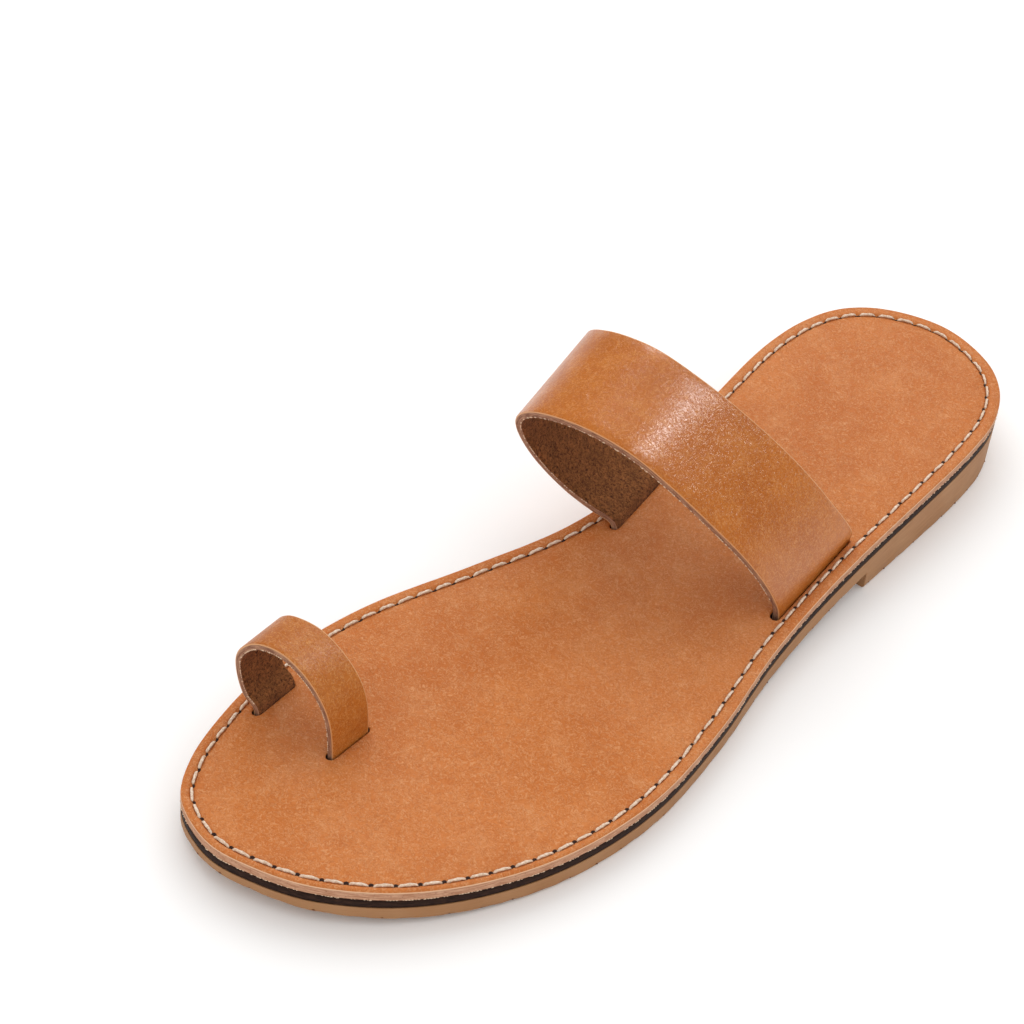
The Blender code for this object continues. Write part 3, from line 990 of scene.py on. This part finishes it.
def build_strap(name, front_rows, rear_rows, thick, steps, grain):
    """The strap, and the line along its inner front corner, where fibres stand."""
    front = edge_line(front_rows, steps)
    rear = edge_line(rear_rows, steps)
    width = float(np.linalg.norm(rear - front, axis=1).mean())
    section = strip_section(width, thick, SECTION_STEPS)
    spread = rear - front
    out = np.cross(np.gradient((front + rear) / 2, axis=0), spread)
    out /= np.linalg.norm(out, axis=1)[:, None]
    if out[len(out) // 2][2] < 0:
        out = -out
    lines = [[f + s * (a / width) - o * d for a, d, _ in section] for f, s, o in zip(front, spread, out)]
    length = path_length(front)
    sides = [math.dist(a[:2], b[:2]) for a, b in zip(section, section[1:] + section[:1])]
    reach = np.r_[0.0, np.cumsum(sides)]
    builder = Builder()
    builder.rings(
        lines, lambda i, k: section[k][2], lambda i, k: (i * length / steps * MM, reach[k] * MM),
    )
    for end in (lines[0], lines[-1]):
        builder.polygon(end, 1, [(0.0, 0.0)] * len(section))
    print(name, "is", round(length), "mm long and", round(width, 1), "mm wide")
    trim = steps // 16
    fuzzy = [(a, d) for a, d, _ in section].index((0.0, thick - CORNER_IN))
    fuzzy_line = np.array([line[fuzzy] for line in lines[trim:-trim]])
    return builder.make(name, [grain, strap_edge, strap_suede, strap_corner_highlight], 45.0), fuzzy_line


instep, instep_fuzz = build_strap(
    "instep_strap_leather", STRAP_FRONT, STRAP_REAR, STRAP_THICK, 150, strap_grain,
)
toe_loop, loop_fuzz = build_strap(
    "toe_loop_leather", LOOP_FRONT, LOOP_REAR, LOOP_THICK, 100, loop_grain,
)
for piece, node in ((instep, "instep_strap"), (toe_loop, "toe_loop")):
    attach(piece, "root")
    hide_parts(node)
    print(piece.name, "has", len(piece.data.polygons), "faces and", open_edges(piece), "open edges")

# %% [markdown]
# ## The sewn seam
# Over a hundred stitches follow the groove, each from one awl hole to the next. That is a repeat
# along a path, so Geometry Nodes make it: the seam's line is cut into equal steps, one shape is set
# on each step and turned along the line, with a little random turn and size, and all is made real at
# the end. The same tree serves the stitches, the holes, the tufts of fibre and the rubber's pits.

# %% The tree that repeats a shape along a line


def repeat_tree():
    tree = bpy.data.node_groups.new("repeat_along_line", "GeometryNodeTree")
    sockets = (
        ("Line", "Geometry", None),
        ("Shape", "Object", None),
        ("Count", "Int", 100),
        ("Turn", "Float", 0.0),
        ("Smallest", "Float", 1.0),
        ("Largest", "Float", 1.0),
        ("Kept", "Float", 1.0),
        ("Seed", "Int", 0),
        ("Finish", "Material", None),
    )
    for name, kind, value in sockets:
        socket = tree.interface.new_socket(name, in_out="INPUT", socket_type="NodeSocket" + kind)
        if value is not None:
            socket.default_value = value
    tree.interface.new_socket("Result", in_out="OUTPUT", socket_type="NodeSocketGeometry")
    given = tree.nodes.new("NodeGroupInput").outputs

    def aim(turned, tangent, pivot):
        inputs = {"Vector": tangent} if turned is None else {"Rotation": turned, "Vector": tangent}
        return add(tree, "FunctionNodeAlignRotationToVector", inputs, axis="X", pivot_axis=pivot).outputs[0]

    def pick(low, high):
        inputs = {2: low, 3: high, "Seed": given["Seed"]}
        return add(tree, "FunctionNodeRandomValue", inputs, data_type="FLOAT").outputs[1]

    line = add(tree, "GeometryNodeMeshToCurve", {"Mesh": given["Line"]}).outputs[0]
    steps = add(tree, "GeometryNodeResampleCurve", {"Curve": line, "Count": given["Count"]}).outputs[0]
    tangent = add(tree, "GeometryNodeInputTangent").outputs[0]
    shape = add(tree, "GeometryNodeObjectInfo", {"Object": given["Shape"]}).outputs["Geometry"]
    along = aim(aim(None, tangent, "Z"), tangent, "Y")
    least = add(tree, "ShaderNodeMath", {0: given["Turn"], 1: -1.0}, operation="MULTIPLY").outputs[0]
    swing = add(tree, "ShaderNodeCombineXYZ", {2: pick(least, given["Turn"])}).outputs[0]
    turned = add(tree, "FunctionNodeRotateRotation", {"Rotation": along, "Rotate By": swing},
                 rotation_space="LOCAL")
    chance = {"Probability": given["Kept"], "Seed": given["Seed"]}
    placed = add(tree, "GeometryNodeInstanceOnPoints", {
        "Points": steps,
        "Selection": add(tree, "FunctionNodeRandomValue", chance, data_type="BOOLEAN").outputs[3],
        "Instance": shape,
        "Rotation": turned.outputs[0],
        "Scale": pick(given["Smallest"], given["Largest"]),
    }).outputs[0]
    real = add(tree, "GeometryNodeRealizeInstances", {"Geometry": placed}).outputs[0]
    done = add(tree, "GeometryNodeSetMaterial", {"Geometry": real, "Material": given["Finish"]}).outputs[0]
    add(tree, "NodeGroupOutput", {"Result": done})
    return tree


repeat_along = repeat_tree()


def run_repeat(name, line, shape, finish, closed=True, **values):
    """Set a shape along a line (mm) and return one plain mesh object."""
    data = bpy.data.meshes.new(name + "_line")
    count = len(line)
    joins = [(k, (k + 1) % count) for k in range(count if closed else count - 1)]
    data.from_pydata([tuple(p * MM) for p in line], joins, [])
    base = bpy.data.objects.new(name + "_line", data)
    bpy.context.scene.collection.objects.link(base)
    modifier = base.modifiers.new("repeat", "NODES")
    modifier.node_group = repeat_along
    values = {"Shape": shape, "Finish": finish, **values}
    for item in repeat_along.interface.items_tree:
        if item.in_out == "INPUT" and item.name in values:
            modifier[item.identifier] = values[item.name]
    bpy.context.view_layer.update()
    ready = base.evaluated_get(bpy.context.evaluated_depsgraph_get())
    mesh = bpy.data.meshes.new_from_object(ready)
    mesh.name = name
    base.modifiers.remove(modifier)
    bpy.data.objects.remove(base)
    mesh.shade_smooth()
    mesh.materials.clear()
    mesh.materials.append(finish)
    piece = bpy.data.objects.new(name, mesh)
    bpy.context.scene.collection.objects.link(piece)
    print(name, "has", len(mesh.polygons), "faces")
    return piece


def template(name, points, faces):
    """The shape that is repeated, hidden because only its copies are part of the sandal."""
    data = bpy.data.meshes.new(name)
    data.from_pydata([tuple(np.array(p) * MM) for p in points], [], faces)
    piece = bpy.data.objects.new(name, data)
    bpy.context.scene.collection.objects.link(piece)
    piece.hide_render = True
    return piece


# %% Stitches and awl holes
STITCH_PITCH = 5.25
STITCH_LENGTH = 4.2
STITCH_RISE = 0.45
STITCH_LIFT = 0.62
THREAD_RADIUS = 0.34
TWISTS = 2.2
HOLE_LONG = 0.72
HOLE_WIDE = 0.58


def tube_faces(rings, sides):
    """Quads between the rings of a template."""
    faces = []
    for i in range(rings - 1):
        for k in range(sides):
            n = (k + 1) % sides
            faces.append((i * sides + k, i * sides + n, (i + 1) * sides + n, (i + 1) * sides + k))
    return faces


def stitch_shape():
    """One stitch: two plies twisted, highest in the middle, diving at both ends."""
    steps, sides = 12, 8
    points = []
    for i in range(steps + 1):
        share = i / steps
        along = (share - 0.5) * STITCH_LENGTH
        end = 1.0 - abs(2 * share - 1) ** 4
        rise = STITCH_RISE * (end - 1.0)
        radius = THREAD_RADIUS * (0.55 + 0.45 * end ** 0.5)
        for k in range(sides):
            turn = 2 * math.pi * k / sides
            ply = radius * (1.0 + 0.17 * math.cos(2 * (turn - TWISTS * math.pi * share)))
            points.append((along, ply * math.cos(turn), rise + ply * math.sin(turn)))
    faces = tube_faces(steps + 1, sides)
    faces.append(tuple(range(sides))[::-1])
    faces.append(tuple(steps * sides + k for k in range(sides)))
    return template("stitch", points, [f[::-1] for f in faces])


def hole_shape():
    """A dish that hugs the groove and stands for an awl hole; its dark colour is painted shade."""
    sides = 12
    points = []
    for size, lift in ((1.0, -0.15), (0.96, 0.04), (0.5, 0.02)):
        for k in range(sides):
            x = HOLE_LONG * size * math.cos(2 * math.pi * k / sides)
            y = HOLE_WIDE * size * math.sin(2 * math.pi * k / sides)
            rise = GROOVE_DEPTH * math.sin(y / GROOVE_HALF * math.pi / 2) ** 2
            points.append((x, y, rise + lift))
    points.append((0.0, 0.0, 0.0))
    faces = tube_faces(3, sides)
    faces += [(2 * sides + k, 2 * sides + (k + 1) % sides, 3 * sides) for k in range(sides)]
    faces.append(tuple(range(sides))[::-1])
    return template("hole", points, faces)


seam_length = path_length(seam, True)
stitch_count = round(seam_length / STITCH_PITCH)
half_pitch = seam_length / stitch_count / 2


def seam_from(offset, lift):
    """The seam's line, begun an offset further along it and lifted off the groove's bottom."""
    closed = np.vstack([seam, seam[:1]])
    lengths = np.r_[0.0, np.cumsum(np.linalg.norm(np.diff(closed, axis=0), axis=1))]
    places = (offset + np.arange(len(seam)) * seam_length / len(seam)) % seam_length
    flat = np.column_stack([np.interp(places, lengths, closed[:, k]) for k in (0, 1)])
    return level(flat, lift - GROOVE_DEPTH - DIP / 2)


stitch = stitch_shape()
stitches = run_repeat("stitches", seam_from(0.0, STITCH_LIFT), stitch, thread,
                      Count=stitch_count, Turn=0.07, Smallest=0.96, Largest=1.05, Seed=3)
hole = hole_shape()
holes = run_repeat("awl_holes", seam_from(half_pitch, 0.0), hole, awl_hole_shade,
                   Count=stitch_count, Smallest=0.9, Largest=1.15, Seed=5)
for piece in (stitches, holes):
    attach(piece, "root")
for shape in (stitch, hole):
    bpy.data.objects.remove(shape)
print(stitch_count, "stitches,", round(seam_length / stitch_count, 2), "mm apart")

# %% [markdown]
# ## Loose fibres and pits
# A knife leaves short pale fibres standing along the lower corner of the footbed and along the inner
# corner of each strap; they show as a broken light line. The rubber's lower edge has small dark
# pits. Both are one tiny eight sided grain, set along a line by the same tree with a share left out.
# The pits' dark colour is painted shade, for their depth.

# %% Fibres and pits
FIBRE_DROP = -2.86
PIT_HEIGHT = 0.75
PIT_CLEAR = 2.0


def grain_shape(name, long, wide, high):
    points = [
        (long, 0, 0), (0, wide, 0), (-long, 0.2 * wide, 0), (0.1 * long, -wide, 0),
        (0, 0, high), (0.1 * long, 0, -high),
    ]
    ring = [(0, 1), (1, 2), (2, 3), (3, 0)]
    faces = [(a, b, 4) for a, b in ring] + [(b, a, 5) for a, b in ring]
    return template(name, points, faces)


tuft = grain_shape("tuft", 0.45, 0.18, 0.17)
speck = grain_shape("speck", 0.45, 0.22, 0.22)
low_edge = place_on(inset(outline, 0.03), follow(FIBRE_DROP)(outline))
fibres = [
    run_repeat("footbed_fibres", low_edge, tuft, fibre,
               Count=900, Turn=0.6, Smallest=0.5, Largest=1.25, Kept=0.55, Seed=11),
    run_repeat("strap_fibres", instep_fuzz, tuft, fibre, False,
               Count=210, Turn=0.7, Smallest=0.6, Largest=1.4, Kept=0.65, Seed=12),
    run_repeat("loop_fibres", loop_fuzz, tuft, fibre, False,
               Count=90, Turn=0.7, Smallest=0.6, Largest=1.3, Kept=0.75, Seed=13),
]
for piece, slot in zip(fibres, ("footbed_leather", "strap_leather", "strap_leather")):
    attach(piece, "root")


def open_run(kept):
    """The kept part of the outline as one unbroken run."""
    run = outline[kept]
    gaps = np.linalg.norm(np.roll(run, -1, axis=0) - run, axis=1)
    return np.roll(run, -int(np.argmax(gaps)) - 1, axis=0)


fore_part = open_run(outline[:, 1] < HEEL_BREAST - PIT_CLEAR)
heel_part = open_run(outline[:, 1] > HEEL_BREAST + PIT_CLEAR)
fore_line = place_on(fore_part, rubber_bottom(fore_part[:, 1]) + PIT_HEIGHT)
heel_line = place_on(heel_part, PIT_HEIGHT)
# Dark specks whose colour is painted shade for the pits' depth.
pits = [
    run_repeat("fore_pits", fore_line, speck, pit, False,
               Count=56, Smallest=0.5, Largest=1.2, Kept=0.6, Seed=21),
    run_repeat("heel_pits", heel_line, speck, pit, False,
               Count=30, Smallest=0.6, Largest=1.4, Kept=0.7, Seed=22),
]
for piece in pits:
    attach(piece, "root")
for shape in (tuft, speck):
    bpy.data.objects.remove(shape)

# %% [markdown]
# ## The studio
# A plain pale floor, and an even pale surround that fills the shadows. One large soft light from
# behind, on the big toe side, shades the sandal. Neither it nor the surround is seen in the shine of
# the leather, which keeps the tan deep. Two small lights only shine: one makes the bright band on the
# instep strap's crown, the other a faint glow on the upper faces. Sizes and places are in metres here.

# %% Floor and light
FLOOR_SIZE = 3.0
LIGHTS_AIM = (0.0, 0.0, 0.02)
floor_mesh = bpy.data.meshes.new("floor")
half = FLOOR_SIZE / 2
corners = [(-half, -half, 0), (half, -half, 0), (half, half, 0), (-half, half, 0)]
floor_mesh.from_pydata(corners, [], [(0, 1, 2, 3)])
floor = bpy.data.objects.new("floor", floor_mesh)
bpy.context.scene.collection.objects.link(floor)
floor_finish, _, floor_shader = new_material("pale_studio_floor", 0.9)
floor_shader.inputs["Base Color"].default_value = colour("#F7F6F5")
floor_shader.inputs["Specular IOR Level"].default_value = 0.1
floor_mesh.materials.append(floor_finish)

surround = bpy.data.worlds.new("surround")
surround.use_nodes = True
background = surround.node_tree.nodes["Background"]
background.inputs["Color"].default_value = colour("#FFFFFF")
background.inputs["Strength"].default_value = 1.02
bpy.context.scene.world = surround
surround.cycles_visibility.glossy = False


def soft_light(name, place, size, power, shine_only=False):
    """An area light that either only shines in the leather or only lights."""
    data = bpy.data.lights.new(name, "AREA")
    data.shape = "RECTANGLE"
    data.size, data.size_y = size
    data.energy = power
    light = bpy.data.objects.new(name, data)
    light.location = place
    light.rotation_euler = (Vector(LIGHTS_AIM) - Vector(place)).to_track_quat("-Z", "Y").to_euler()
    light.visible_diffuse = not shine_only
    light.visible_glossy = shine_only
    bpy.context.scene.collection.objects.link(light)


soft_light("key_softbox", (-0.75, 0.65, 1.0), (1.7, 1.7), 9.5)
soft_light("window_strip", (0.36, 0.86, 0.91), (0.26, 0.45), 8.0, True)
soft_light("toe_strip", (-0.60, 0.98, 0.80), (0.6, 0.14), 4.0, True)
bpy.context.scene.view_settings.view_transform = "Standard"
